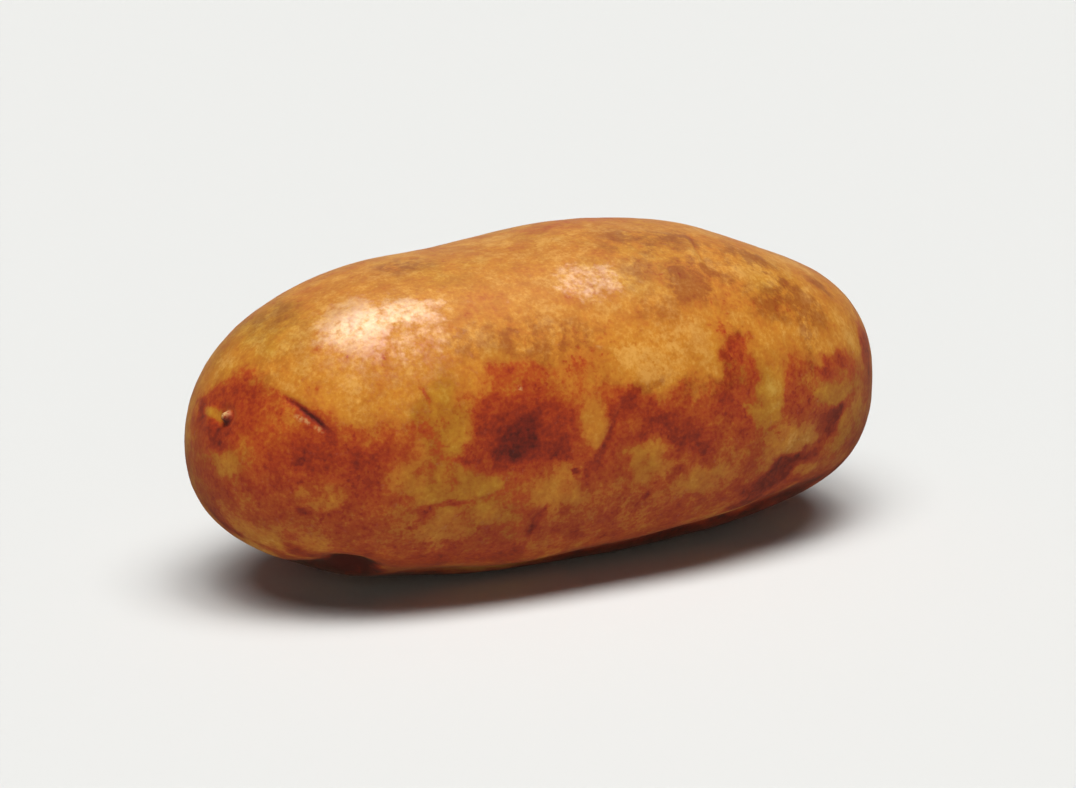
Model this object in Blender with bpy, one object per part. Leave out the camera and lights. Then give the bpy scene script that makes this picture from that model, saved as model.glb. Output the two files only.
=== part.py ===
"""A long baking potato with shallow eyes, lying on the small flat spot under its belly.

The tuber is one closed body. Its girth, lift and sway change smoothly along its length, both ends close
bluntly, and broad swellings and hollows make it uneven. Eyes, creases and the stem scar are pressed into the
skin or raised from it. A place on the skin is given by its share of the half length, from -1 at the bud end
to 1 at the stem end, and by its turn round the long axis: 0 is the top, 90 the front, 180 the underside and
270 the back. Sizes in the tables are in millimetres, and turns and rolls in degrees.
"""

import math
from collections import namedtuple

import bmesh
import bpy
import numpy as np

MM = 0.001

# The whole tuber. The bud end points to -X and the stem end to +X.
LENGTH = 130.0
AXIS_HEIGHT = 29.25     # how high the long axis lies. The belly is deeper, and is cut off at the table
STATIONS = (-0.9, -0.45, 0.0, 0.45, 0.9)    # shares of the half length at which the next four rows hold
HALF_HEIGHTS = (26.2, 27.8, 29.2, 29.5, 27.3)
HALF_WIDTHS = (27.8, 29.5, 31.0, 31.2, 28.9)
LIFTS = (-1.4, -0.3, 0.0, -0.4, -2.5)
SWAYS = (-0.6, 0.3, 0.4, -0.2, 0.9)
SQUARENESS = 2.2        # 2 is a round section, more is a squarer one
BUD_END = (3.95, 2.07)  # how late the girth starts to close towards the end, and how blunt the end is
STEM_END = (2.09, 3.78)

# Broad unevenness of the form. A height below 0 is a hollow.
Swelling = namedtuple("Swelling", "share turn height along around")
SWELLINGS = (
    # along the top
    Swelling(-0.85, 345, 0.5, 12, 18),
    Swelling(-0.55, 350, 0.3, 12, 18),
    Swelling(-0.25, 352, -0.8, 12, 18),
    Swelling(0.10, 353, 0.6, 12, 18),
    Swelling(0.40, 353, 0.2, 12, 18),
    Swelling(0.70, 350, -1.5, 12, 18),
    # round the front of both ends
    Swelling(0.93, 100, -0.7, 10, 16),
    Swelling(-0.97, 180, 1.0, 10, 16),
    Swelling(-0.97, 280, 0.6, 10, 16),
    # along the lower front
    Swelling(0.45, 140, -0.3, 14, 16),
    Swelling(-0.25, 140, 1.2, 14, 16),
    Swelling(-0.85, 145, -0.8, 10, 16),
    # the notch under the bud end, and the long hollow that runs on from it, where the belly turns under,
    # and rises at the stem end
    Swelling(-0.695, 146, -3.0, 5, 4.5),
    Swelling(-0.75, 162, -1.2, 4, 4),
    Swelling(-0.42, 151, -2.0, 12, 6.5),
    Swelling(-0.08, 150, -2.4, 13, 6.5),
    Swelling(0.27, 147, -2.7, 13, 6.5),
    Swelling(0.58, 141, -2.4, 12, 6.5),
    Swelling(0.53, 114, -0.9, 5, 4),
    Swelling(0.65, 103, -0.8, 5, 4),
    # on the front: over the slit eye, round the bud eye and under the smudge
    Swelling(-0.70, 42, 0.5, 9, 9),
    Swelling(-0.90, 40, -0.7, 8, 9),
    Swelling(-0.33, 83, -0.5, 8, 8),
    # on the back and the underside
    Swelling(-0.62, 262, -1.0, 12, 13),
    Swelling(-0.18, 285, 1.0, 14, 15),
    Swelling(0.22, 246, -0.9, 13, 14),
    Swelling(0.60, 283, 0.9, 12, 15),
    Swelling(-0.45, 212, 0.8, 12, 12),
    Swelling(0.68, 205, -0.6, 10, 12),
    Swelling(-0.03, 181, 0.4, 13, 12),
)

# Each eye has a saucer, a crease and a brow, and some a bud. The roll turns the crease on the skin, and the
# bow is how far the crease's middle bends towards the brow, as a share of its width.
Eye = namedtuple("Eye", "share turn roll width bow saucer crease brow bud")
EYES = (
    # on the front
    Eye(-0.975, 27, 46, 5.0, 0.14, 0.5, 0.04, 0.25, 1.0),
    Eye(-0.829, 59.3, -52, 9.6, 0.02, 0.0, 0.24, 0.08, 0.0),
    Eye(-0.55, 64, -71, 4.5, 0.1, 0.0, 0.06, 0.05, 0.0),
    Eye(-0.043, 85.5, 63, 13.6, 0.04, 0.05, 0.07, 0.1, 0.0),
    Eye(-0.248, 115.5, 74, 7.0, 0.1, 0.05, 0.07, 0.1, 0.0),
    Eye(0.372, 24, 77, 10.0, 0.05, 0.05, 0.1, 0.3, 0.0),
    # round the bud end, where they are closest
    Eye(-0.90, 215, 10, 5.5, 0.14, 0.5, 0.5, 0.5, 1.0),
    Eye(-0.88, 288, -80, 5.5, 0.14, 0.5, 0.5, 0.3, 0.9),
    # on the back and the underside
    Eye(-0.84, 255, 20, 8.0, 0.14, 0.6, 0.8, 0.7, 0.8),
    Eye(-0.64, 316, 160, 9.5, 0.14, 0.8, 0.9, 0.8, 1.1),
    Eye(-0.48, 200, 15, 8.5, 0.14, 0.7, 0.9, 0.6, 0.0),
    Eye(-0.27, 268, -160, 10.5, 0.14, 0.9, 1.0, 0.9, 1.2),
    Eye(0.02, 325, -12, 7.5, 0.14, 0.6, 0.7, 0.6, 0.0),
    Eye(0.13, 228, 8, 9.0, 0.14, 0.8, 0.8, 0.7, 1.0),
    Eye(0.40, 284, 170, 11.0, 0.14, 0.9, 1.0, 0.8, 0.0),
    Eye(0.50, 196, -10, 8.0, 0.14, 0.7, 0.8, 0.6, 0.0),
    Eye(0.73, 246, 14, 9.0, 0.14, 0.7, 0.8, 0.7, 0.9),
    Eye(0.80, 338, -168, 8.0, 0.14, 0.6, 0.7, 0.6, 0.0),
)

# How an eye is laid out across its width, from the crease towards the brow.
SAUCER_LONG = 0.6       # the saucer's reach along the crease and across it, as shares of the eye's width
SAUCER_WIDE = 0.45
BROW_OFF = 1.4
BROW_SPREAD = 1.4
CREASE_STEEP = 0.5      # the crease's reach under the brow
CREASE_GENTLE = 1.1     # the crease's reach on the other side
CREASE_END = 4          # more lets the crease run on longer before it ends
BUD_HEIGHT = 1.1
BUD_OFF = 2.0           # from the crease to the middle of the bud
BUD_FOOT = 1.3          # how many times its radius a bud's foot reaches
BUD_ROUND = 1.5         # 0.5 is a dome, more is a bell
BUD_MOAT = 0.3          # the ring pressed in round a bud
MOAT_SPREAD = 0.6

# The round scar where the stem came off.
SCAR_RADIUS = 3.4
SCAR_DEPTH = 1.3
SCAR_RIM = 0.4
SCAR_RIM_RADIUS = 5.1
SCAR_RIM_SPREAD = 1.7
STUB_HEIGHT = 1.5
STUB_RADIUS = 1.3

HALVINGS = 30           # how often the search for the plain form halves its range
CELL = 0.7              # the size of the cells in which the skin is found
TABLE_DEPTH = 10.0
TRIANGLES = 10800       # how many are kept, most of them round the eyes

SKIN_COLOUR = (0.47, 0.21, 0.055, 1.0)
SKIN_ROUGHNESS = 0.42


def along(values, share):
    """The value at a share of the half length, on one smooth curve through the five stations."""
    return np.polyval(np.polyfit(STATIONS, values, len(STATIONS) - 1), share)


def closing(share):
    """How full the girth is: about 1 in the middle, closing to 0 at both ends."""
    late = np.where(share < 0, BUD_END[0], STEM_END[0])
    blunt = np.where(share < 0, BUD_END[1], STEM_END[1])
    return np.clip(1 - np.abs(share) ** late, 0, 1) ** (1 / blunt)


def excess(points):
    """Below 0 inside the plain form, 0 on it and above 0 outside."""
    share = points[:, 0] / (LENGTH / 2)
    across = (points[:, 1] - along(SWAYS, share)) / along(HALF_WIDTHS, share)
    upward = (points[:, 2] - along(LIFTS, share)) / along(HALF_HEIGHTS, share)
    return np.abs(across) ** SQUARENESS + np.abs(upward) ** SQUARENESS - closing(share) ** SQUARENESS


def plain_points(directions):
    """Where straight lines from the middle leave the plain form, found by halving."""
    inside = np.zeros(len(directions))
    outside = np.full(len(directions), LENGTH)
    for _ in range(HALVINGS):
        middle = (inside + outside) / 2
        within = excess(directions * middle[:, None]) < 0
        inside = np.where(within, middle, inside)
        outside = np.where(within, outside, middle)
    return directions * inside[:, None]


def plain_normals(points):
    """The outward directions of the plain form, from how fast the excess grows along each axis."""
    step = 0.02
    slopes = [excess(points + step * axis) - excess(points - step * axis) for axis in np.eye(3)]
    slopes = np.stack(slopes, axis=1)
    return slopes / np.linalg.norm(slopes, axis=1, keepdims=True)


def place(share, turn):
    """The point of the plain form at a share and a turn, with its normal."""
    angle = math.radians(turn)
    side, top = -math.sin(angle), math.cos(angle)
    fullness = float(closing(np.array(share)))
    reach = fullness / (abs(side) ** SQUARENESS + abs(top) ** SQUARENESS) ** (1 / SQUARENESS)
    point = np.array([[
        share * LENGTH / 2,
        along(SWAYS, share) + along(HALF_WIDTHS, share) * reach * side,
        along(LIFTS, share) + along(HALF_HEIGHTS, share) * reach * top,
    ]])
    return point[0], plain_normals(point)[0]


def tangents(normal, roll):
    """Two directions in the skin. At roll 0 they run towards the stem end and up the front."""
    first = np.array([1.0, 0.0, 0.0]) - normal[0] * normal
    first /= np.linalg.norm(first)
    second = np.cross(normal, first)
    angle = math.radians(roll)
    turned = math.cos(angle) * first + math.sin(angle) * second
    return turned, np.cross(normal, turned)


def hump(distance, spread):
    return np.exp(-(distance / spread) ** 2)


def swelling_relief(swelling, points):
    centre, _ = place(swelling.share, swelling.turn)
    offset = points - centre
    around = np.linalg.norm(offset[:, 1:], axis=1)
    return swelling.height * hump(offset[:, 0], swelling.along) * hump(around, swelling.around)


def eye_relief(eye, points):
    """A shallow saucer with a crease across it, a brow over the crease and a bud below it."""
    centre, normal = place(eye.share, eye.turn)
    level, upward = tangents(normal, eye.roll)
    offset = points - centre
    facing = np.abs(offset @ normal) < eye.width
    u = offset @ level
    v = offset @ upward
    reach = u / (eye.width / 2)
    window = np.exp(-reach ** CREASE_END)
    height = -eye.saucer * hump(u, SAUCER_LONG * eye.width) * hump(v, SAUCER_WIDE * eye.width)
    bowed = v - eye.bow * eye.width * (1 - reach ** 2).clip(-1)
    height += eye.brow * window * hump(bowed - BROW_OFF, BROW_SPREAD)
    height -= eye.crease * window * hump(bowed, np.where(bowed > 0, CREASE_STEEP, CREASE_GENTLE))
    if eye.bud:
        away = np.hypot(u, v + BUD_OFF)
        foot = BUD_FOOT * eye.bud
        height += BUD_HEIGHT * (1 - (away / foot) ** 2).clip(0) ** BUD_ROUND
        height -= BUD_MOAT * hump(away - foot, MOAT_SPREAD)
    return np.where(facing, height, 0)


def scar_relief(points):
    """The stem scar at the +X tip: a round dimple with a low rim and the stub of the stem in it."""
    centre, _ = place(1.0, 0)
    away = np.linalg.norm(points - centre, axis=1)
    height = -SCAR_DEPTH * hump(away, SCAR_RADIUS)
    height += SCAR_RIM * hump(away - SCAR_RIM_RADIUS, SCAR_RIM_SPREAD)
    return height + STUB_HEIGHT * hump(away, STUB_RADIUS)


def skin(directions):
    """The points of the finished skin in the given directions from the middle."""
    points = plain_points(directions)
    relief = scar_relief(points)
    for swelling in SWELLINGS:
        relief += swelling_relief(swelling, points)
    for eye in EYES:
        relief += eye_relief(eye, points)
    return points + relief[:, None] * plain_normals(points) + (0, 0, AXIS_HEIGHT)


def coordinates(bm):
    return np.array([vertex.co for vertex in bm.verts])


def even_net():
    """A box cut into even cells. Its points give the directions in which the skin is found."""
    size = np.array([LENGTH, 2 * max(HALF_WIDTHS), 2 * max(HALF_HEIGHTS)])
    bm = bmesh.new()
    bmesh.ops.create_cube(bm, size=2.0)
    for axis in range(3):
        lines = [edge for edge in bm.edges if abs(edge.verts[0].co[axis] - edge.verts[1].co[axis]) > 1]
        cells = round(size[axis] / CELL)
        bmesh.ops.subdivide_edges(bm, edges=lines, cuts=cells - 1, use_grid_fill=True)
    for vertex in bm.verts:
        for axis in (1, 2):
            vertex.co[axis] = math.tan(vertex.co[axis] * math.pi / 4)
        for axis in range(3):
            vertex.co[axis] *= size[axis] / 2
    return bm


def directions_of(bm):
    ways = coordinates(bm)
    return ways / np.linalg.norm(ways, axis=1, keepdims=True)


def skin_mesh():
    bm = even_net()
    points = skin(directions_of(bm))
    points[:, :2] -= (points[:, :2].min(axis=0) + points[:, :2].max(axis=0)) / 2
    for vertex, point in zip(bm.verts, points):
        vertex.co = point * MM
    bmesh.ops.recalc_face_normals(bm, faces=bm.faces)
    mesh = bpy.data.meshes.new("potato")
    bm.to_mesh(mesh)
    bm.free()
    mesh.shade_smooth()
    return mesh


def thin_out(potato):
    """Leaves few faces where the skin is smooth and many where it bends sharply."""
    thinning = potato.modifiers.new("thin out", "DECIMATE")
    thinning.ratio = TRIANGLES / (2 * len(potato.data.polygons))


def lay_flat(potato):
    """Cuts the belly level with the table, which leaves the small flat spot that the tuber rests on."""
    bpy.ops.mesh.primitive_cube_add(size=1, location=(0, 0, -TABLE_DEPTH * MM / 2))
    table = bpy.context.object
    table.name = "table_cutter"
    table.dimensions = (2 * LENGTH * MM, LENGTH * MM, TABLE_DEPTH * MM)
    table.hide_render = True
    table.display_type = "WIRE"
    cut = potato.modifiers.new("flat spot", "BOOLEAN")
    cut.operation = "DIFFERENCE"
    cut.solver = "EXACT"
    cut.object = table


def skin_material():
    material = bpy.data.materials.new("potato_skin")
    material.use_nodes = True
    shader = material.node_tree.nodes["Principled BSDF"]
    shader.inputs["Base Color"].default_value = SKIN_COLOUR
    shader.inputs["Roughness"].default_value = SKIN_ROUGHNESS
    shader.inputs["Metallic"].default_value = 0.0
    material.diffuse_color = SKIN_COLOUR
    return material


def main():
    for obj in list(bpy.data.objects):
        bpy.data.objects.remove(obj)
    potato = bpy.data.objects.new("potato", skin_mesh())
    potato.data.materials.append(skin_material())
    bpy.context.scene.collection.objects.link(potato)
    thin_out(potato)
    lay_flat(potato)


main()
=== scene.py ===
"""The looks of a long baking potato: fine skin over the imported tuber, lit and seen as in the photograph."""
import math
from collections import namedtuple

import bmesh
import bpy
import numpy as np
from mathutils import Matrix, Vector, noise


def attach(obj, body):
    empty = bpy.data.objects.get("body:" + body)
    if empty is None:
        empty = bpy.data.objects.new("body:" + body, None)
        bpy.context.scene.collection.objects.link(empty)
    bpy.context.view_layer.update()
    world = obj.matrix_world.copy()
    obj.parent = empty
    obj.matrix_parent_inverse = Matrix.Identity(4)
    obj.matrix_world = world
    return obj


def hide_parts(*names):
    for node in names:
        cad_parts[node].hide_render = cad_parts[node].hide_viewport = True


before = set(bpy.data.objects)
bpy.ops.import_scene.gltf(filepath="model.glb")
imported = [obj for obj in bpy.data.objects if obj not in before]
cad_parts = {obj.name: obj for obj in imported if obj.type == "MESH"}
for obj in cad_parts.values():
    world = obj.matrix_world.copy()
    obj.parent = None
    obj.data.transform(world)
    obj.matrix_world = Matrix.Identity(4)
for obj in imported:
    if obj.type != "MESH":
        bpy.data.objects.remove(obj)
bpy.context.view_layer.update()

MM = 0.001

# The tuber's form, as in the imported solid. Places on the skin are given by their share of the half length,
# from -1 at the bud end to 1 at the stem end, and by their turn round the long axis: 0 is the top, 90 the
# front, 180 the underside and 270 the back. Sizes are in millimetres, turns and rolls in degrees.
LENGTH = 130.0
AXIS_HEIGHT = 29.25
STATIONS = (-0.9, -0.45, 0.0, 0.45, 0.9)    # shares of the half length at which the next four rows hold
HALF_HEIGHTS = (26.2, 27.8, 29.2, 29.5, 27.3)
HALF_WIDTHS = (27.8, 29.5, 31.0, 31.2, 28.9)
LIFTS = (-1.4, -0.3, 0.0, -0.4, -2.5)
SWAYS = (-0.6, 0.3, 0.4, -0.2, 0.9)
SQUARENESS = 2.2        # 2 is a round section, more is a squarer one
BUD_END = (3.95, 2.07)  # how late the girth starts to close towards the end, and how blunt the end is
STEM_END = (2.09, 3.78)
FOOT_EDGE = 0.2         # how softly the skin meets the flat spot

Swelling = namedtuple("Swelling", "share turn height along around")
SWELLINGS = (
    Swelling(-0.85, 345, 0.5, 12, 18),
    Swelling(-0.55, 350, 0.3, 12, 18),
    Swelling(-0.25, 352, -0.8, 12, 18),
    Swelling(0.10, 353, 0.6, 12, 18),
    Swelling(0.40, 353, 0.2, 12, 18),
    Swelling(0.70, 350, -1.5, 12, 18),
    Swelling(0.93, 100, -0.7, 10, 16),
    Swelling(-0.97, 180, 1.0, 10, 16),
    Swelling(-0.97, 280, 0.6, 10, 16),
    Swelling(0.45, 140, -0.3, 14, 16),
    Swelling(-0.25, 140, 1.2, 14, 16),
    Swelling(-0.85, 145, -0.8, 10, 16),
    Swelling(-0.695, 146, -3.0, 5, 4.5),
    Swelling(-0.75, 162, -1.2, 4, 4),
    Swelling(-0.42, 151, -2.0, 12, 6.5),
    Swelling(-0.08, 150, -2.4, 13, 6.5),
    Swelling(0.27, 147, -2.7, 13, 6.5),
    Swelling(0.58, 141, -2.4, 12, 6.5),
    Swelling(0.53, 114, -0.9, 5, 4),
    Swelling(0.65, 103, -0.8, 5, 4),
    Swelling(-0.70, 42, 0.5, 9, 9),
    Swelling(-0.90, 40, -0.7, 8, 9),
    Swelling(-0.33, 83, -0.5, 8, 8),
    Swelling(-0.62, 262, -1.0, 12, 13),
    Swelling(-0.18, 285, 1.0, 14, 15),
    Swelling(0.22, 246, -0.9, 13, 14),
    Swelling(0.60, 283, 0.9, 12, 15),
    Swelling(-0.45, 212, 0.8, 12, 12),
    Swelling(0.68, 205, -0.6, 10, 12),
    Swelling(-0.03, 181, 0.4, 13, 12),
)

Eye = namedtuple("Eye", "share turn roll width bow saucer crease brow bud")
EYES = (
    Eye(-0.975, 27, 46, 5.0, 0.14, 0.5, 0.04, 0.25, 1.0),
    Eye(-0.829, 59.3, -52, 9.6, 0.02, 0.0, 0.24, 0.08, 0.0),
    Eye(-0.55, 64, -71, 4.5, 0.1, 0.0, 0.06, 0.05, 0.0),
    Eye(-0.043, 85.5, 63, 13.6, 0.04, 0.05, 0.07, 0.1, 0.0),
    Eye(-0.248, 115.5, 74, 7.0, 0.1, 0.05, 0.07, 0.1, 0.0),
    Eye(0.372, 24, 77, 10.0, 0.05, 0.05, 0.1, 0.3, 0.0),
    Eye(-0.90, 215, 10, 5.5, 0.14, 0.5, 0.5, 0.5, 1.0),
    Eye(-0.88, 288, -80, 5.5, 0.14, 0.5, 0.5, 0.3, 0.9),
    Eye(-0.84, 255, 20, 8.0, 0.14, 0.6, 0.8, 0.7, 0.8),
    Eye(-0.64, 316, 160, 9.5, 0.14, 0.8, 0.9, 0.8, 1.1),
    Eye(-0.48, 200, 15, 8.5, 0.14, 0.7, 0.9, 0.6, 0.0),
    Eye(-0.27, 268, -160, 10.5, 0.14, 0.9, 1.0, 0.9, 1.2),
    Eye(0.02, 325, -12, 7.5, 0.14, 0.6, 0.7, 0.6, 0.0),
    Eye(0.13, 228, 8, 9.0, 0.14, 0.8, 0.8, 0.7, 1.0),
    Eye(0.40, 284, 170, 11.0, 0.14, 0.9, 1.0, 0.8, 0.0),
    Eye(0.50, 196, -10, 8.0, 0.14, 0.7, 0.8, 0.6, 0.0),
    Eye(0.73, 246, 14, 9.0, 0.14, 0.7, 0.8, 0.7, 0.9),
    Eye(0.80, 338, -168, 8.0, 0.14, 0.6, 0.7, 0.6, 0.0),
)
SAUCER_LONG = 0.6
SAUCER_WIDE = 0.45
BROW_OFF = 1.4
BROW_SPREAD = 1.4
CREASE_STEEP = 0.5
CREASE_GENTLE = 1.1
CREASE_END = 4
BUD_HEIGHT = 1.1
BUD_OFF = 2.0
BUD_FOOT = 1.3
BUD_ROUND = 1.5
BUD_MOAT = 0.3
MOAT_SPREAD = 0.6
SCAR_RADIUS = 3.4
SCAR_DEPTH = 1.3
SCAR_RIM = 0.4
SCAR_RIM_RADIUS = 5.1
SCAR_RIM_SPREAD = 1.7
STUB_HEIGHT = 1.5
STUB_RADIUS = 1.3

HALVINGS = 30           # how often the search for the plain form halves its range
CELL = 0.45             # the fine net's cells
TRIANGLES = 190000      # how many are kept, more of them where the skin bends sharply

# Fine unevenness of the skin: how large its lumps are, and how high.
LUMPS = ((14.0, 0.12), (4.5, 0.05), (1.6, 0.016))
SLIT_DEPTH = 0.9        # the fine line in an eye's crease
SLIT_SPREAD = 0.32
BRACT_HEIGHT = 0.12     # the scales round a bud
BRACTS = 5
BRACT_TWIST = 3         # how far they turn, in radians, for each millimetre from the bud's middle
BRACT_RADIUS = 0.6      # their place and reach on a bud of size 1
BRACT_REACH = 0.5

# The stain: -1 is pale gold, -0.5 gold, 0 golden brown, 0.5 rust, 1 deep rust and 1.5 nearly black.
# Gold on the top and rust on the sides: partly real rust, partly painted shade on the sides turned away from
# the lamps overhead.
GOLD_TOP = -0.48
RUST_AND_SHADE_SIDE = 0.35
RUST_FROM = 60          # the turn at which the gold of the top ends
RUST_TO = 80
RUST_BEND = 0.7         # how much of the warp bends that line
PATCH_FULL = 0.60       # up to this share of its size a patch covers fully, and from the next one not at all
PATCH_GONE = 1.45
PATCH_BEND = 0.26       # how much of the warp bends the edge of a patch, for each millimetre of its size
SCAR_BEND = 0.4
# Painted shade round the eyes, deeper where the crease is deeper:
EYE_SHADE_STAIN = 0.5         # how much a crease of strength 1 darkens the skin round it

# A patch reaches along and across its own middle by millimetres, and its roll turns it on the skin. Later
# patches lie over earlier ones. In the lists after this one the stain is how strong the effect is.
Patch = namedtuple("Patch", "share turn roll along across stain")
FRONT = (
    # rust round the bud end
    Patch(-0.995, 90, 0, 8.0, 8.0, 0.30),
    Patch(-0.960, 37, -42, 9.5, 6.6, 0.95),
    Patch(-0.905, 54, -30, 5.5, 4.5, 0.55),
    Patch(-0.850, 70, -32, 8.0, 4.0, 0.50),
    Patch(-0.815, 91, 0, 11.5, 8.0, 0.60),
    Patch(-0.846, 83, 0, 4.6, 2.8, 0.85),
    Patch(-0.933, 108, 0, 6.8, 5.0, 0.50),
    Patch(-0.678, 101, 0, 4.2, 3.7, 0.60),
    Patch(-0.548, 126, -3, 16.0, 4.6, 0.55),
    # some rust round the notch under the bud end; then painted shade, nearly black, in the notch and along
    # the rim where the belly turns under
    Patch(-0.800, 134, 30, 5.0, 2.2, 0.55),
    Patch(-0.958, 113, 26, 3.0, 2.4, 0.60),
    Patch(-0.932, 122, 35, 5.0, 1.8, 0.60),
    Patch(-0.684, 154, 37, 6.0, 4.0, 2.10),
    Patch(-0.760, 166, 38, 4.5, 3.0, 2.00),
    Patch(-0.680, 166, 20, 7.0, 4.5, 2.00),
    Patch(-0.550, 166, 0, 9.0, 4.0, 1.70),
    Patch(-0.250, 168, 0, 14.0, 4.5, 1.40),
    Patch(0.120, 163, 0, 15.0, 5.5, 1.40),
    Patch(0.400, 158, 0, 12.0, 6.0, 1.50),
    Patch(0.620, 152, 20, 8.0, 5.0, 1.50),
    # rust, from the smudge to the stem end
    Patch(-0.262, 65, -8, 8.6, 3.4, 0.40),
    Patch(-0.315, 82, -7, 11.4, 6.4, 0.95),
    Patch(-0.166, 124, 0, 11.5, 6.0, 0.50),
    Patch(-0.014, 111, -10, 18.5, 5.6, 0.50),
    Patch(0.149, 86, -8, 16.5, 6.0, 0.75),
    Patch(0.242, 116, 0, 10.0, 5.5, 0.55),
    Patch(0.343, 70, 0, 4.2, 5.0, 0.62),
    Patch(0.531, 86, 0, 4.4, 6.4, 0.65),
    Patch(0.674, 73, -5, 7.4, 2.3, 0.60),
    Patch(0.671, 97, 0, 5.8, 4.0, 0.65),
    Patch(0.883, 65, 0, 3.4, 5.4, 0.90),
    # the dark slanting band at the lower right: painted shade along the hollow there, on rust
    Patch(0.700, 97, 45, 4.5, 2.0, 1.05),
    Patch(0.610, 106, 40, 5.0, 2.4, 1.10),
    Patch(0.510, 115, 38, 5.5, 2.8, 1.20),
    Patch(0.430, 122, 30, 6.0, 3.0, 1.20),
    Patch(0.560, 122, 30, 7.0, 2.6, 0.80),
    # gold islands
    Patch(-0.982, 79, 0, 2.6, 2.2, -0.05),
    Patch(-0.825, 102, 0, 4.6, 1.9, 0.15),
    Patch(-0.835, 129, 15, 4.3, 3.0, 0.10),
    Patch(-0.636, 92, 0, 2.9, 1.8, 0.10),
    Patch(-0.635, 16, 10, 11.0, 8.0, -0.60),
    Patch(-0.492, 77, -5, 2.8, 6.4, -0.35),
    Patch(-0.480, 100, -4, 6.4, 3.6, -0.20),
    Patch(-0.498, 115, -2, 4.6, 2.4, -0.25),
    Patch(-0.373, 110, -6, 5.6, 1.9, -0.10),
    Patch(-0.196, 105, -8, 5.0, 4.2, -0.20),
    Patch(-0.108, 83, -7, 2.2, 4.0, -0.28),
    Patch(0.061, 98, -8, 4.0, 4.4, -0.25),
    Patch(0.133, 65, -8, 9.7, 6.0, -0.75),
    Patch(0.259, 110, -10, 5.8, 3.0, -0.10),
    Patch(0.432, 82, -9, 3.2, 6.4, -0.45),
    Patch(0.541, 102, 0, 6.0, 2.8, -0.35),
    Patch(0.611, 117, 0, 2.9, 1.6, -0.20),
    Patch(0.660, 60, 0, 5.0, 4.0, -0.65),
    Patch(0.784, 61, 0, 3.6, 3.2, -0.50),
    Patch(0.692, 83, -10, 6.4, 2.4, -0.20),
    Patch(0.781, 105, 0, 5.0, 3.4, -0.15),
    # small marks: the smudge, lines, spots, and by the bud the pale bar, painted light on the brow ridge, and
    # the dark arc, painted shade in the crease beside it
    Patch(-0.331, 83.1, 30, 4.8, 3.4, 1.55),
    Patch(-0.524, 106.2, -5, 4.8, 0.9, 0.75),
    Patch(-0.377, 102.7, 14, 3.6, 0.8, 0.70),
    Patch(-0.979, 355.4, 16, 2.6, 1.4, 1.00),
    Patch(-0.975, 15, 87, 2.2, 0.9, -0.10),
    Patch(-0.010, 80, 63, 3.8, 1.0, 0.80),
    Patch(-0.060, 88.0, 63, 6.4, 1.0, 0.80),
    Patch(-0.248, 115.5, 74, 3.0, 0.5, 0.80),
    Patch(-0.550, 64.0, -71, 2.2, 0.35, 0.20),
    Patch(-0.154, 98.8, 0, 0.7, 0.6, 1.40),
    Patch(0.151, 103.5, 0, 0.9, 0.9, 1.10),
    Patch(0.062, 111.4, 0, 0.8, 0.8, 1.00),
    Patch(-0.848, 109.4, 0, 1.4, 0.8, 1.00),
    Patch(-0.759, 34.3, 0, 0.9, 0.8, 0.20),
)
# Brown mottling along the top and at the edges of the gold.
BROWN = (
    Patch(-0.790, 358, 0, 4.5, 6.8, 0.5),
    Patch(-0.438, 2, 0, 5.0, 3.4, 0.7),
    Patch(-0.390, 48, -10, 4.5, 3.0, 0.5),
    Patch(-0.200, 52, -9, 11.0, 3.4, 0.6),
    Patch(0.230, 18, -8, 8.0, 5.5, 0.8),
    Patch(0.285, 37, 60, 7.0, 3.4, 0.9),
    Patch(0.330, 16, -30, 5.5, 2.2, 1.0),
    Patch(0.430, 28, -40, 6.0, 2.2, 0.8),
    Patch(0.530, 27, -40, 5.5, 3.0, 0.9),
    Patch(0.590, 45, -50, 6.0, 3.6, 1.0),
    Patch(0.745, 36, -20, 4.0, 1.6, 0.7),
    Patch(0.400, 41, -50, 8.0, 2.6, 0.7),
    Patch(0.500, 50, -50, 5.0, 2.5, 0.6),
    Patch(0.180, 31, 30, 6.0, 3.0, 0.5),
    Patch(0.660, 50, -40, 5.0, 2.2, 0.6),
    Patch(0.610, 62, 70, 4.5, 2.0, 0.8),
    Patch(0.150, 48, -10, 5.0, 3.0, 0.4),
    Patch(0.340, 66, 70, 4.5, 2.2, 0.6),
    Patch(0.180, 75, -8, 14.0, 1.6, 0.6),
    Patch(-0.860, 28, 0, 5.0, 3.0, 0.4),
)
# Where the gold is greenish.
OLIVE = (
    Patch(-0.523, 76, -8, 4.0, 8.0, 1.0),
    Patch(-0.502, 99, -6, 8.5, 4.5, 0.6),
    Patch(-0.790, 358, 0, 6.0, 9.0, 0.9),
    Patch(-0.990, 60, 0, 8.0, 8.0, 0.6),
    Patch(0.253, 21, -8, 7.0, 5.5, 0.4),
    Patch(0.551, 34, 0, 6.0, 6.0, 0.3),
    Patch(0.420, 84, -9, 4.5, 8.0, 0.5),
    Patch(0.701, 84, -11, 9.0, 5.0, 0.8),
    Patch(0.781, 105, 0, 6.0, 4.0, 0.7),
)
# Pale corky specks: three on the lower lip of the slit eye, and lone ones.
CORK = (
    Patch(-0.846, 60.3, -50, 0.7, 0.4, 0.6),
    Patch(-0.833, 63.2, -60, 0.7, 0.3, 0.5),
    Patch(-0.810, 68.3, -50, 0.6, 0.35, 0.5),
    Patch(-0.052, 58.6, 0, 0.3, 0.25, 0.8),
    Patch(-0.300, 67.5, 0, 0.25, 0.25, 0.7),
)
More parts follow.
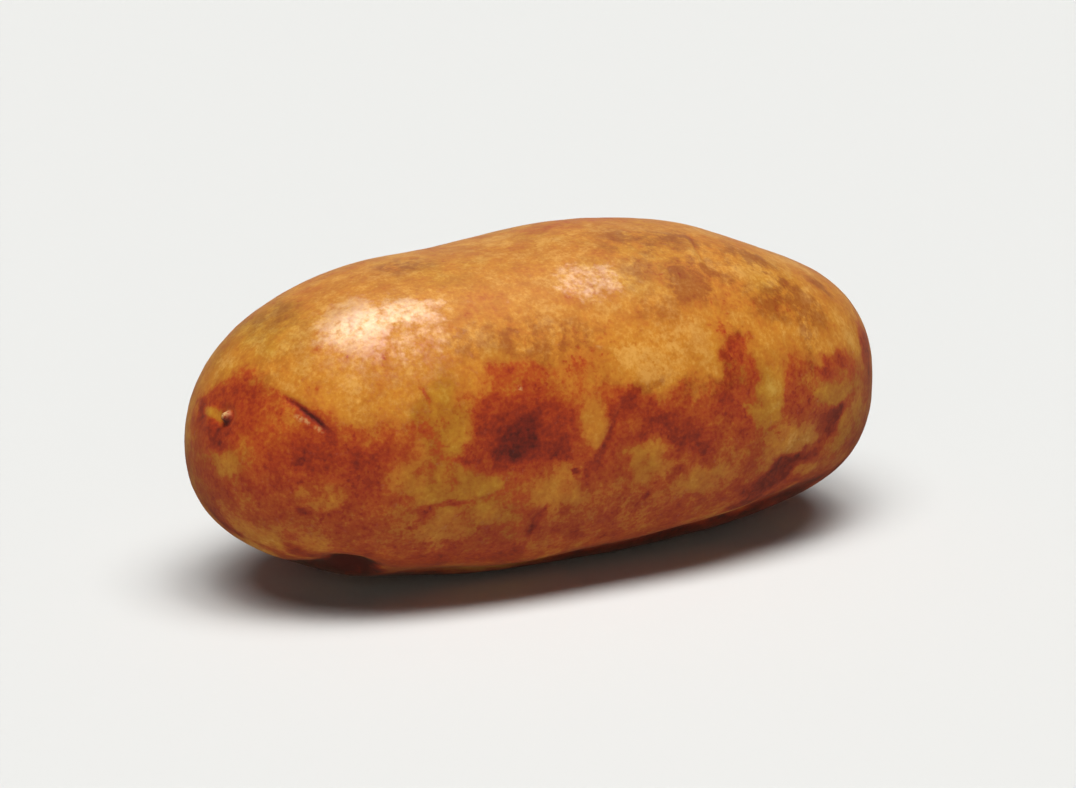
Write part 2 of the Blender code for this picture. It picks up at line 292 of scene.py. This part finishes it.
# Where the skin is smoothest and shines most.
GLOSS = (
    Patch(-0.663, 32, -12, 6.5, 7.0, 1.0),
    Patch(-0.535, 31, -12, 7.5, 3.8, 0.85),
    Patch(-0.613, 45, -12, 13.0, 11.0, 0.55),
    Patch(0.000, 34, -8, 7.0, 4.5, 0.68),
)
SCAR_STAINS = ((5.0, 0.50), (2.8, 1.30))      # round marks on the stem scar: radius and stain
SCAR_CORK = 1.1         # the radius of the stub's pale tip
SEED = 11
HIDDEN_PATCHES = 150
HIDDEN_FROM = 128       # the turns between which the photograph shows nothing
HIDDEN_TO = 352
HIDDEN_SHARE = 0.97
HIDDEN_ACROSS = (1.2, 5.5)
HIDDEN_STRETCH = (1.0, 2.6)     # how many times longer than wide
HIDDEN_ROLL = 35
HIDDEN_GOLD = (-0.8, 0.15)      # the stains along the top, and the ones to choose from elsewhere
HIDDEN_STAINS = (-0.35, -0.1, 0.5, 0.75, 0.95)
WARPS = ((5.5, 2.4), (2.0, 1.3))      # the sizes of the lumps that bend the patches' edges, and how far
WARP_SEED = 11          # without a seed the bends would follow the clock, and differ from run to run

# The stain's colours, from pale gold to nearly black.
STAIN_COLOURS = (
    (-1.0, (200, 144, 66)),
    (-0.5, (185, 120, 38)),
    (0.0, (175, 101, 33)),
    (0.4, (164, 72, 25)),
    (0.8, (150, 52, 23)),
    (1.3, (118, 38, 24)),
    (1.9, (76, 30, 24)),
)
STAIN_LOW = -1.2
STAIN_HIGH = 2.0
OLIVE_TINT = (0.86, 0.97, 0.78, 1.0)
BROWN_TINT = (0.62, 0.48, 0.52, 1.0)
CORK_COLOUR = (196, 156, 100)

# Painted shade: the dark line in a crease and the dark side of a bud. Painted light: a bud's pale tip.
CREASE_DARK = 5         # a crease is fully dark from a strength of 1/5, and below that fades by this power
CREASE_POWER = 1.5
CREASE_LINE = 1.3       # how many times the slit's spread
BUD_SHADE = 0.6
BUD_SHADE_RADIUS = 0.7  # a share of the foot's radius
BUD_SHADE_SPREAD = 0.5
BUD_SHADE_SIDE = (-0.5, 0.3)
TIP_STRENGTH = 1.6
TIP_SPREAD = 0.55
TIP_OFF = 0.4
STUB_CORK = 0.7

# How the skin's material varies. A grain is the size of the noise's lumps, and a cut is the range of the
# noise over which the effect comes in.
MOTTLING = (            # the lumps that break the stains up: size, detail, roughness and strength
    (7.0, 3.0, 0.5, 1.9),
    (2.2, 3.0, 0.6, 1.4),
    (0.7, 2.0, 0.6, 1.3),
)
SPECK_GRAIN = 0.9       # fine dark specks
SPECK_CUT = (0.58, 0.72)
SPECK_GROUP_GRAIN = 11.0
SPECK_GROUP_CUT = (0.45, 0.62)
SPECK_STAIN = 0.35
CREASE_SHADE_STAIN = 1.5
OLIVE_GRAIN = 16.0      # greenish gold that comes and goes all over
OLIVE_CUT = (0.5, 0.72)
OLIVE_MOST = 0.6
OLIVE_STAINS = (0.6, 0.1)       # from which stain on it begins, and from which it is full
STIPPLE_GRAIN = 2.0     # brown stippling
STIPPLE_GROUP_GRAIN = 6.0
STIPPLE_GROUPS = 0.8
STIPPLE_CUT = (0.68, 1.1)
STIPPLE_GAIN = 1.25     # in the brown patches
STIPPLE_ELSEWHERE = 0.33
CORK_GRAIN = 0.5
CORK_CUT = (0.3, 0.55)
GLOSS_GRAIN = 1.5
GLOSS_UNEVEN = 2.4
GLOSS_CUT = (0.2, 1.2)
ROUGHNESS = (0.52, 0.34)        # on dull skin and on waxy skin
SPECULAR = (0.15, 1.0)
PORES = (0.8, 0.3)      # the sizes of the pores, and how deep the small ones are beside the large ones
SMALL_PORES = 0.4
BUMP_STRENGTH = 0.35
BUMP_DEPTH = 0.06
SHEEN_WEIGHT = 0.06
SHEEN_ROUGHNESS = 0.5
SHEEN_TINT = (1.0, 0.88, 0.55, 1.0)

# The camera, as fitted to the photograph's outline.
FOCAL_MM = 100.0
SENSOR_MM = 36.0
CAMERA_AZIMUTH = -28.6
CAMERA_ELEVATION = 16.0
CAMERA_DISTANCE = 528.8
TARGET_RIGHT = -0.1
TARGET_HEIGHT = 29.4
CLIP_START = 10.0

FLOOR_SIZE = 40         # metres
FLOOR_COLOUR = (0.643, 0.649, 0.632, 1.0)
FLOOR_ROUGHNESS = 0.9
FLOOR_SPECULAR = 0.1

# Distant soft lamps. The leans are degrees to the right of and towards the camera, from straight above. A
# matt lamp lights the colours, and a gloss lamp is seen only in the shine.
Lamp = namedtuple("Lamp", "name right_lean front_lean strength angle colour kind")
LAMPS = (
    Lamp("left_lamp", -12, 24, 1.45, 28, (1.0, 1.0, 1.0), "matt"),
    Lamp("middle_lamp", 2, 18, 1.45, 28, (1.0, 1.0, 1.0), "matt"),
    Lamp("right_lamp", 16, 11, 1.45, 28, (1.0, 1.0, 1.0), "matt"),
    Lamp("fill", 0, 80, 0.6, 50, (1.0, 0.96, 0.8), "matt"),
    Lamp("left_gloss", -7, -14, 2.2, 28, (0.92, 0.98, 0.82), "gloss"),
    Lamp("low_gloss", 12, 14, 1.2, 34, (1.0, 0.92, 0.85), "gloss"),
    Lamp("right_gloss", 18, -17, 0.75, 20, (1.0, 0.96, 0.9), "gloss"),
)

# What is round the table: dim for the light that fills shadows, pale where the camera sees it, and in the
# shine bright only towards the backdrop.
ROOM_SHADE = (0.022, 0.013, 0.022, 1)
BACKDROP_SHADE = (0.87, 0.875, 0.84, 1)
BACKDROP_RISE = 0.55    # how much the way to the backdrop rises, against the way the camera looks
GLOW_CUT = (0.75, 0.97)
GLOW = (0.02, 0.7)


def srgb(red, green, blue):
    """A linear colour from the 0 to 255 values in which colours are usually named."""
    return tuple(((c / 255 + 0.055) / 1.055) ** 2.4 for c in (red, green, blue)) + (1.0,)


# The form

def along(values, share):
    """The value at a share of the half length, on one smooth curve through the five stations."""
    return np.polyval(np.polyfit(STATIONS, values, len(STATIONS) - 1), share)


def closing(share):
    """How full the girth is: about 1 in the middle, closing to 0 at both ends."""
    late = np.where(share < 0, BUD_END[0], STEM_END[0])
    blunt = np.where(share < 0, BUD_END[1], STEM_END[1])
    return np.clip(1 - np.abs(share) ** late, 0, 1) ** (1 / blunt)


def excess(points):
    """Below 0 inside the plain form, 0 on it and above 0 outside."""
    share = points[:, 0] / (LENGTH / 2)
    across = (points[:, 1] - along(SWAYS, share)) / along(HALF_WIDTHS, share)
    upward = (points[:, 2] - along(LIFTS, share)) / along(HALF_HEIGHTS, share)
    return np.abs(across) ** SQUARENESS + np.abs(upward) ** SQUARENESS - closing(share) ** SQUARENESS


def plain_points(directions):
    """Where straight lines from the middle leave the plain form, found by halving."""
    inside = np.zeros(len(directions))
    outside = np.full(len(directions), LENGTH)
    for _ in range(HALVINGS):
        middle = (inside + outside) / 2
        within = excess(directions * middle[:, None]) < 0
        inside = np.where(within, middle, inside)
        outside = np.where(within, outside, middle)
    return directions * inside[:, None]


def plain_normals(points):
    """The outward directions of the plain form, from how fast the excess grows along each axis."""
    step = 0.02
    slopes = [excess(points + step * axis) - excess(points - step * axis) for axis in np.eye(3)]
    slopes = np.stack(slopes, axis=1)
    return slopes / np.linalg.norm(slopes, axis=1, keepdims=True)


def place(share, turn):
    """The point of the plain form at a share and a turn, with its normal."""
    angle = math.radians(turn)
    side, top = -math.sin(angle), math.cos(angle)
    fullness = float(closing(np.array(share)))
    reach = fullness / (abs(side) ** SQUARENESS + abs(top) ** SQUARENESS) ** (1 / SQUARENESS)
    point = np.array([[
        share * LENGTH / 2,
        along(SWAYS, share) + along(HALF_WIDTHS, share) * reach * side,
        along(LIFTS, share) + along(HALF_HEIGHTS, share) * reach * top,
    ]])
    return point[0], plain_normals(point)[0]


def tangents(normal, roll):
    """Two directions in the skin. At roll 0 they run towards the stem end and up the front. They don't exist
    at the very tips, where the normal lies along the tuber."""
    first = np.array([1.0, 0.0, 0.0]) - normal[0] * normal
    first /= np.linalg.norm(first)
    second = np.cross(normal, first)
    angle = math.radians(roll)
    turned = math.cos(angle) * first + math.sin(angle) * second
    return turned, np.cross(normal, turned)


def hump(distance, spread):
    return np.exp(-(distance / spread) ** 2)


def swelling_relief(swelling, points):
    centre, _ = place(swelling.share, swelling.turn)
    offset = points - centre
    around = np.linalg.norm(offset[:, 1:], axis=1)
    return swelling.height * hump(offset[:, 0], swelling.along) * hump(around, swelling.around)


def across_eye(eye, points):
    """Where points lie on an eye: along its crease and across it, how far from the bowed crease, how much of
    the crease is there, and whether they are on the eye's side of the tuber."""
    centre, normal = place(eye.share, eye.turn)
    level, upward = tangents(normal, eye.roll)
    offset = points - centre
    u = offset @ level
    v = offset @ upward
    reach = u / (eye.width / 2)
    bowed = v - eye.bow * eye.width * (1 - reach ** 2).clip(-1)
    return u, v, bowed, np.exp(-reach ** CREASE_END), np.abs(offset @ normal) < eye.width


def eye_relief(eye, points):
    """A shallow saucer with a crease across it, a brow over the crease and a bud below it."""
    u, v, bowed, window, facing = across_eye(eye, points)
    height = -eye.saucer * hump(u, SAUCER_LONG * eye.width) * hump(v, SAUCER_WIDE * eye.width)
    height += eye.brow * window * hump(bowed - BROW_OFF, BROW_SPREAD)
    height -= eye.crease * window * hump(bowed, np.where(bowed > 0, CREASE_STEEP, CREASE_GENTLE))
    if eye.bud:
        away = np.hypot(u, v + BUD_OFF)
        foot = BUD_FOOT * eye.bud
        height += BUD_HEIGHT * (1 - (away / foot) ** 2).clip(0) ** BUD_ROUND
        height -= BUD_MOAT * hump(away - foot, MOAT_SPREAD)
    return np.where(facing, height, 0)


def scar_relief(points):
    """The stem scar at the +X tip: a round dimple with a low rim and the stub of the stem in it."""
    centre, _ = place(1.0, 0)
    away = np.linalg.norm(points - centre, axis=1)
    height = -SCAR_DEPTH * hump(away, SCAR_RADIUS)
    height += SCAR_RIM * hump(away - SCAR_RIM_RADIUS, SCAR_RIM_SPREAD)
    return height + STUB_HEIGHT * hump(away, STUB_RADIUS)


def pressed_flat(heights):
    """The heights with everything below the table brought up to it."""
    blend = (heights + FOOT_EDGE) ** 2 / (4 * FOOT_EDGE)
    return np.where(heights > FOOT_EDGE, heights, np.where(heights < -FOOT_EDGE, 0, blend))


def even_net():
    """The mesh of a box round the tuber, cut into even cells, and its points."""
    size = np.array([LENGTH, 2 * max(HALF_WIDTHS), 2 * max(HALF_HEIGHTS)])
    bm = bmesh.new()
    bmesh.ops.create_cube(bm, size=2.0)
    for axis in range(3):
        lines = [edge for edge in bm.edges if abs(edge.verts[0].co[axis] - edge.verts[1].co[axis]) > 1]
        cells = round(size[axis] / CELL)
        bmesh.ops.subdivide_edges(bm, edges=lines, cuts=cells - 1, use_grid_fill=True)
    bmesh.ops.recalc_face_normals(bm, faces=bm.faces)
    mesh = bpy.data.meshes.new("net")
    bm.to_mesh(mesh)
    bm.free()
    flat = np.empty(3 * len(mesh.vertices))
    mesh.vertices.foreach_get("co", flat)
    points = flat.reshape(-1, 3)
    points[:, 1:] = np.tan(points[:, 1:] * math.pi / 4)
    return mesh, points * size / 2


def lumps(points, size, octaves=2):
    """Noise about 0 whose lumps are about size across, one value for each point."""
    return np.array([noise.fractal(Vector(p), 1.0, 2.0, octaves) for p in points / size])


def warp(points):
    """How far each point is moved, along each axis, before it is looked up in a patch."""
    noise.seed_set(WARP_SEED)
    return sum(
        reach * np.array([noise.noise_vector(Vector(p)) for p in points / size])
        for size, reach in WARPS
    )


def smooth(value, low, high):
    t = ((value - low) / (high - low)).clip(0, 1)
    return t * t * (3 - 2 * t)


# The skin's fine relief

def slit_relief(eye, points):
    """The fine line in an eye's crease, and the scales round its bud."""
    u, v, bowed, window, facing = across_eye(eye, points)
    height = -SLIT_DEPTH * eye.crease * window * hump(bowed, SLIT_SPREAD)
    if eye.bud:
        away = np.hypot(u, v + BUD_OFF)
        round_it = np.arctan2(v + BUD_OFF, u)
        ring = hump(away - BRACT_RADIUS * eye.bud, BRACT_REACH * eye.bud)
        height += BRACT_HEIGHT * (np.cos(BRACTS * round_it + BRACT_TWIST * away) * ring)
    return np.where(facing, height, 0)


def relief_of(plain):
    relief = scar_relief(plain)
    for swelling in SWELLINGS:
        relief += swelling_relief(swelling, plain)
    for eye in EYES:
        relief += eye_relief(eye, plain) + slit_relief(eye, plain)
    for size, height in LUMPS:
        relief += height * lumps(plain, size)
    return relief


# The skin's stains

def covered(patch, points, moved):
    """How much of each point a patch covers, from 0 to 1, with edges that the warp bends."""
    centre, normal = place(patch.share, patch.turn)
    level, upward = tangents(normal, patch.roll)
    bend = min(1.0, PATCH_BEND * (patch.along + patch.across) / 2)
    offset = points + bend * moved - centre
    away = np.hypot(offset @ level / patch.along, offset @ upward / patch.across)
    facing = np.abs(offset @ normal) < 2 * max(patch.along, patch.across)
    return np.where(facing, 1 - smooth(away, PATCH_FULL, PATCH_GONE), 0)


def scar_cover(points, moved, radius):
    """How much of each point a round mark about the stem scar covers, from 0 to 1."""
    centre, _ = place(1.0, 0)
    away = np.linalg.norm(points + SCAR_BEND * moved - centre, axis=1)
    return 1 - smooth(away / radius, PATCH_FULL, PATCH_GONE)


def hidden_patches():
    """Stains of the same kinds and sizes where the photograph shows nothing."""
    draw = np.random.default_rng(SEED)
    for _ in range(HIDDEN_PATCHES):
        share = draw.uniform(-HIDDEN_SHARE, HIDDEN_SHARE)
        turn = draw.uniform(HIDDEN_FROM, HIDDEN_TO)
        across = draw.uniform(*HIDDEN_ACROSS)
        along_it = across * draw.uniform(*HIDDEN_STRETCH)
        on_top = turn > 360 - RUST_FROM
        stain = draw.uniform(*HIDDEN_GOLD) if on_top else draw.choice(HIDDEN_STAINS)
        yield Patch(share, turn, draw.uniform(-HIDDEN_ROLL, HIDDEN_ROLL), along_it, across, stain)


def stain_of(plain, moved):
    """Gold on top and rust on the sides, the sides' rust partly painted shade, and over them the patches, the
    scar and painted shade in the eyes' surrounds.
    """
    middle = plain + RUST_BEND * moved
    share = middle[:, 0] / (LENGTH / 2)
    side = middle[:, 1] - along(SWAYS, share)
    up = middle[:, 2] - along(LIFTS, share)
    turn = np.degrees(np.abs(np.arctan2(side, up)))
    stain = GOLD_TOP + (RUST_AND_SHADE_SIDE - GOLD_TOP) * smooth(turn, RUST_FROM, RUST_TO)
    for patch in (*hidden_patches(), *FRONT):
        cover = covered(patch, plain, moved)
        stain += (patch.stain - stain) * cover
    for radius, tone in SCAR_STAINS:
        stain += (tone - stain) * scar_cover(plain, moved, radius)
    # painted shade: the skin round each eye darkened by how deep its crease is
    for eye in EYES:
        surround = Patch(eye.share, eye.turn, eye.roll, eye.width / 2, eye.width / 4, 0)
        stain += eye.crease * EYE_SHADE_STAIN * covered(surround, plain, moved)
    return stain


def strongest(patches, plain, moved):
    """The most that any one of the patches gives each point."""
    return np.max([patch.stain * covered(patch, plain, moved) for patch in patches], axis=0)


def painted_shade_of(plain):
    """Where the painted shade goes: dark lines in the creases and on the shaded side of each bud."""
    dark = np.zeros(len(plain))
    for eye in EYES:
        u, v, bowed, window, facing = across_eye(eye, plain)
        strength = min(1, CREASE_DARK * eye.crease) ** CREASE_POWER
        # painted shade along the crease
        line = strength * window * hump(bowed, CREASE_LINE * SLIT_SPREAD)
        if eye.bud:
            away = np.hypot(u, v + BUD_OFF)
            ring = hump(away - BUD_SHADE_RADIUS * BUD_FOOT * eye.bud, BUD_SHADE_SPREAD)
            # painted shade on the bud's side away from the light
            line = np.maximum(line, BUD_SHADE * ring * smooth(-u, *BUD_SHADE_SIDE))
        dark = np.maximum(dark, np.where(facing, line, 0))
    return dark


def pale_lit_tips_of(plain):
    """Where the buds' pale tips are: painted light on the lit side of each bud, over its corky colour."""
    pale = np.zeros(len(plain))
    for eye in EYES:
        if eye.bud:
            u, v, _, _, facing = across_eye(eye, plain)
            away = np.hypot(u - TIP_OFF * eye.bud, v + BUD_OFF)
            tip = TIP_STRENGTH * hump(away, TIP_SPREAD * eye.bud)
            pale = np.maximum(pale, np.where(facing, tip, 0))
    return pale


def add_values(mesh, name, values):
    attribute = mesh.attributes.new(name, "FLOAT", "POINT")
    attribute.data.foreach_set("value", values)


def paint(mesh, plain):
    """Gives each point its share of every stain and finish, painted shade and painted light among them, for
    the material to read.
    """
    moved = warp(plain)
    stub = STUB_CORK * scar_cover(plain, moved, SCAR_CORK)
    add_values(mesh, "stain", stain_of(plain, moved))
    add_values(mesh, "olive", strongest(OLIVE, plain, moved))
    add_values(mesh, "brown", strongest(BROWN, plain, moved))
    # corky specks, the stub's tip, and the buds' pale tips as painted light
    add_values(mesh, "cork_and_lit_tips", np.max([strongest(CORK, plain, moved), pale_lit_tips_of(plain), stub], axis=0))
    add_values(mesh, "crease", painted_shade_of(plain))
    add_values(mesh, "gloss", strongest(GLOSS, plain, moved))


def skin_piece():
    """The fine skin, thinned out so that most faces are where it bends sharply."""
    mesh, ways = even_net()
    ways /= np.linalg.norm(ways, axis=1, keepdims=True)
    plain = plain_points(ways)
    points = plain + relief_of(plain)[:, None] * plain_normals(plain)
    points[:, 2] = pressed_flat(points[:, 2] + AXIS_HEIGHT)
    points[:, :2] -= (points[:, :2].min(axis=0) + points[:, :2].max(axis=0)) / 2
    mesh.vertices.foreach_set("co", (points * MM).ravel())
    paint(mesh, plain)
    mesh.update()
    mesh.shade_smooth()
    potato = bpy.data.objects.new("potato_skin", mesh)
    bpy.context.scene.collection.objects.link(potato)
    thinning = potato.modifiers.new("thin out", "DECIMATE")
    thinning.ratio = TRIANGLES / (2 * len(mesh.polygons))
    thinned = bpy.data.meshes.new_from_object(potato.evaluated_get(bpy.context.evaluated_depsgraph_get()))
    thinned.name = "potato_skin"
    potato.modifiers.clear()
    potato.data = thinned
    return potato


class Graph:
    """Short ways to add the nodes of one material."""

    def __init__(self, name):
        self.material = bpy.data.materials.new(name)
        self.material.use_nodes = True
        self.nodes = self.material.node_tree.nodes
        self.links = self.material.node_tree.links
        self.shader = self.nodes["Principled BSDF"]

    def put(self, value, socket):
        if hasattr(value, "links"):
            self.links.new(value, socket)
        else:
            socket.default_value = value

    def math(self, operation, first, second=0.0, clamp=False):
        node = self.nodes.new("ShaderNodeMath")
        node.operation = operation
        node.use_clamp = clamp
        self.put(first, node.inputs[0])
        self.put(second, node.inputs[1])
        return node.outputs[0]

    def noise(self, size_mm, detail=2.0, roughness=0.5):
        """Noise from 0 to 1 whose lumps are about size_mm across."""
        node = self.nodes.new("ShaderNodeTexNoise")
        node.inputs["Scale"].default_value = 1 / (size_mm * MM)
        node.inputs["Detail"].default_value = detail
        node.inputs["Roughness"].default_value = roughness
        self.links.new(self.place_in_object(), node.inputs["Vector"])
        return node.outputs[0]

    def place_in_object(self):
        node = self.nodes.get("place") or self.nodes.new("ShaderNodeTexCoord")
        node.name = "place"
        return node.outputs["Object"]

    def value(self, name):
        node = self.nodes.new("ShaderNodeAttribute")
        node.attribute_name = name
        return node.outputs["Fac"]

    def spread(self, value, low, high, to_low=0.0, to_high=1.0, smooth_it=True):
        node = self.nodes.new("ShaderNodeMapRange")
        node.interpolation_type = "SMOOTHSTEP" if smooth_it else "LINEAR"
        self.put(value, node.inputs["Value"])
        node.inputs["From Min"].default_value = low
        node.inputs["From Max"].default_value = high
        node.inputs["To Min"].default_value = to_low
        node.inputs["To Max"].default_value = to_high
        return node.outputs["Result"]

    def ramp(self, factor, stops):
        node = self.nodes.new("ShaderNodeValToRGB")
        elements = node.color_ramp.elements
        while len(elements) < len(stops):
            elements.new(0.5)
        for element, (position, colour) in zip(elements, stops):
            element.position = position
            element.color = srgb(*colour)
        self.put(factor, node.inputs["Fac"])
        return node.outputs["Color"]

    def mix(self, factor, first, second, blend="MIX"):
        node = self.nodes.new("ShaderNodeMix")
        node.data_type = "RGBA"
        node.blend_type = blend
        node.clamp_factor = True
        self.put(factor, node.inputs["Factor"])
        self.put(first, node.inputs["A"])
        self.put(second, node.inputs["B"])
        return node.outputs["Result"]


def stain_and_colour(g):
    """The stain, broken up by mottling, specks and the painted shade of creases and buds, and the colour it
    gives.
    """
    stain = g.value("stain")
    for grain, detail, roughness, strength in MOTTLING:
        uneven = g.math("SUBTRACT", g.noise(grain, detail, roughness), 0.5)
        stain = g.math("ADD", stain, g.math("MULTIPLY", uneven, strength))
    groups = g.spread(g.noise(SPECK_GROUP_GRAIN), *SPECK_GROUP_CUT)
    specks = g.math("MULTIPLY", g.spread(g.noise(SPECK_GRAIN, detail=1.0), *SPECK_CUT), groups)
    stain = g.math("ADD", stain, g.math("MULTIPLY", specks, SPECK_STAIN))
    # painted shade in the creases and on the buds' shaded sides
    stain = g.math("ADD", stain, g.math("MULTIPLY", g.value("crease"), CREASE_SHADE_STAIN))
    span = STAIN_HIGH - STAIN_LOW
    stops = [((at - STAIN_LOW) / span, colour) for at, colour in STAIN_COLOURS]
    return stain, g.ramp(g.spread(stain, STAIN_LOW, STAIN_HIGH, smooth_it=False), stops)


def tinted(g, stain, colour):
    """The colour with its greenish gold, brown stippling, corky specks and the buds' pale tips, which are
    painted light.
    """
    olive = g.math("ADD", g.value("olive"), g.spread(g.noise(OLIVE_GRAIN), *OLIVE_CUT, 0.0, OLIVE_MOST))
    olive = g.math("MULTIPLY", olive, g.spread(stain, *OLIVE_STAINS), clamp=True)
    colour = g.mix(olive, colour, g.mix(1.0, colour, OLIVE_TINT, "MULTIPLY"))
    groups = g.math("MULTIPLY", g.noise(STIPPLE_GROUP_GRAIN), STIPPLE_GROUPS)
    stipple = g.math("ADD", g.noise(STIPPLE_GRAIN, detail=4.0, roughness=0.7), groups)
    brown = g.math("ADD", g.math("MULTIPLY", g.value("brown"), STIPPLE_GAIN), STIPPLE_ELSEWHERE)
    brown = g.math("MULTIPLY", brown, g.spread(stipple, *STIPPLE_CUT), clamp=True)
    colour = g.mix(brown, colour, g.mix(1.0, colour, BROWN_TINT, "MULTIPLY"))
    # corky specks and the buds' pale tips, which are painted light
    grain = g.spread(g.noise(CORK_GRAIN, detail=1.0), *CORK_CUT)
    cork_and_lit_tips = g.math("MULTIPLY", g.value("cork_and_lit_tips"), grain, clamp=True)
    return g.mix(cork_and_lit_tips, colour, srgb(*CORK_COLOUR))


def add_gloss(g):
    """Waxy skin is smoother and shines more than dull skin."""
    uneven = g.math("SUBTRACT", g.noise(GLOSS_GRAIN, detail=4.0, roughness=0.7), 0.5)
    waxy = g.math("ADD", g.value("gloss"), g.math("MULTIPLY", uneven, GLOSS_UNEVEN))
    waxy = g.spread(waxy, *GLOSS_CUT)
    for (dull, shiny), name in ((ROUGHNESS, "Roughness"), (SPECULAR, "Specular IOR Level")):
        g.links.new(g.spread(waxy, 0.0, 1.0, dull, shiny, smooth_it=False), g.shader.inputs[name])
    g.shader.inputs["Sheen Weight"].default_value = SHEEN_WEIGHT
    g.shader.inputs["Sheen Roughness"].default_value = SHEEN_ROUGHNESS
    g.shader.inputs["Sheen Tint"].default_value = SHEEN_TINT


def add_pores(g):
    large, small = PORES
    bump = g.nodes.new("ShaderNodeBump")
    bump.inputs["Strength"].default_value = BUMP_STRENGTH
    bump.inputs["Distance"].default_value = BUMP_DEPTH * MM
    height = g.math("ADD", g.noise(large), g.math("MULTIPLY", g.noise(small, detail=1.0), SMALL_PORES))
    g.links.new(height, bump.inputs["Height"])
    g.links.new(bump.outputs["Normal"], g.shader.inputs["Normal"])


def skin_material():
    g = Graph("potato_skin")
    stain, colour = stain_and_colour(g)
    g.links.new(tinted(g, stain, colour), g.shader.inputs["Base Color"])
    add_gloss(g)
    add_pores(g)
    return g.material


# The stage

def floor():
    bpy.ops.mesh.primitive_plane_add(size=FLOOR_SIZE)
    plane = bpy.context.object
    plane.name = "floor"
    material = bpy.data.materials.new("floor")
    material.use_nodes = True
    shader = material.node_tree.nodes["Principled BSDF"]
    shader.inputs["Base Color"].default_value = FLOOR_COLOUR
    shader.inputs["Roughness"].default_value = FLOOR_ROUGHNESS
    shader.inputs["Specular IOR Level"].default_value = FLOOR_SPECULAR
    plane.data.materials.append(material)
    plane.visible_glossy = False


def camera_axes():
    """The camera's way to the right, and the way from what it looks at back to it."""
    a, e = math.radians(CAMERA_AZIMUTH), math.radians(CAMERA_ELEVATION)
    back = Vector((math.sin(a) * math.cos(e), -math.cos(a) * math.cos(e), math.sin(e)))
    right = Vector((math.cos(a), math.sin(a), 0))
    return right, back


def camera():
    right, back = camera_axes()
    data = bpy.data.cameras.new("camera")
    data.lens = FOCAL_MM
    data.sensor_width = SENSOR_MM
    data.clip_start = CLIP_START * MM
    obj = bpy.data.objects.new("camera", data)
    target = (right * TARGET_RIGHT + Vector((0, 0, TARGET_HEIGHT))) * MM
    obj.location = target + back * CAMERA_DISTANCE * MM
    obj.rotation_euler = back.to_track_quat("Z", "Y").to_euler()
    bpy.context.scene.collection.objects.link(obj)
    bpy.context.scene.camera = obj


def add_lamp(lamp):
    right, back = camera_axes()
    front = Vector((back.x, back.y, 0)).normalized()
    rightward = right * math.tan(math.radians(lamp.right_lean))
    way = rightward + front * math.tan(math.radians(lamp.front_lean)) + Vector((0, 0, 1))
    data = bpy.data.lights.new(lamp.name, "SUN")
    data.energy = lamp.strength
    data.angle = math.radians(lamp.angle)
    data.color = lamp.colour
    obj = bpy.data.objects.new(lamp.name, data)
    obj.rotation_euler = way.to_track_quat("Z", "Y").to_euler()
    obj.visible_glossy = lamp.kind == "gloss"
    obj.visible_diffuse = lamp.kind == "matt"
    bpy.context.scene.collection.objects.link(obj)


def backdrop_glow(nodes, links):
    """What the shine sees: dark all round, and bright towards the backdrop."""
    direction = nodes.new("ShaderNodeTexCoord")
    towards = nodes.new("ShaderNodeVectorMath")
    towards.operation = "DOT_PRODUCT"
    towards.inputs[1].default_value = (Vector((0, 0, BACKDROP_RISE)) - camera_axes()[1]).normalized()
    links.new(direction.outputs["Generated"], towards.inputs[0])
    glow = nodes.new("ShaderNodeMapRange")
    glow.inputs["From Min"].default_value, glow.inputs["From Max"].default_value = GLOW_CUT
    glow.inputs["To Min"].default_value, glow.inputs["To Max"].default_value = GLOW
    links.new(towards.outputs["Value"], glow.inputs["Value"])
    return glow.outputs["Result"]


def room():
    """The world, which shows a different shade to the shine, to the camera and to all other light."""
    world = bpy.data.worlds.new("studio")
    bpy.context.scene.world = world
    world.use_nodes = True
    nodes, links = world.node_tree.nodes, world.node_tree.links
    background = nodes["Background"]
    background.inputs["Strength"].default_value = 1.0
    path = nodes.new("ShaderNodeLightPath")
    by_shine = nodes.new("ShaderNodeMix")
    by_shine.data_type = "RGBA"
    by_shine.inputs["A"].default_value = ROOM_SHADE
    links.new(backdrop_glow(nodes, links), by_shine.inputs["B"])
    links.new(path.outputs["Is Glossy Ray"], by_shine.inputs["Factor"])
    by_camera = nodes.new("ShaderNodeMix")
    by_camera.data_type = "RGBA"
    by_camera.inputs["B"].default_value = BACKDROP_SHADE
    links.new(by_shine.outputs["Result"], by_camera.inputs["A"])
    links.new(path.outputs["Is Camera Ray"], by_camera.inputs["Factor"])
    links.new(by_camera.outputs["Result"], background.inputs["Color"])


potato = skin_piece()
potato.data.materials.append(skin_material())
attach(potato, "root")
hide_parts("potato")

floor()
camera()
for each_lamp in LAMPS:
    add_lamp(each_lamp)
room()
bpy.context.scene.view_settings.view_transform = "Standard"
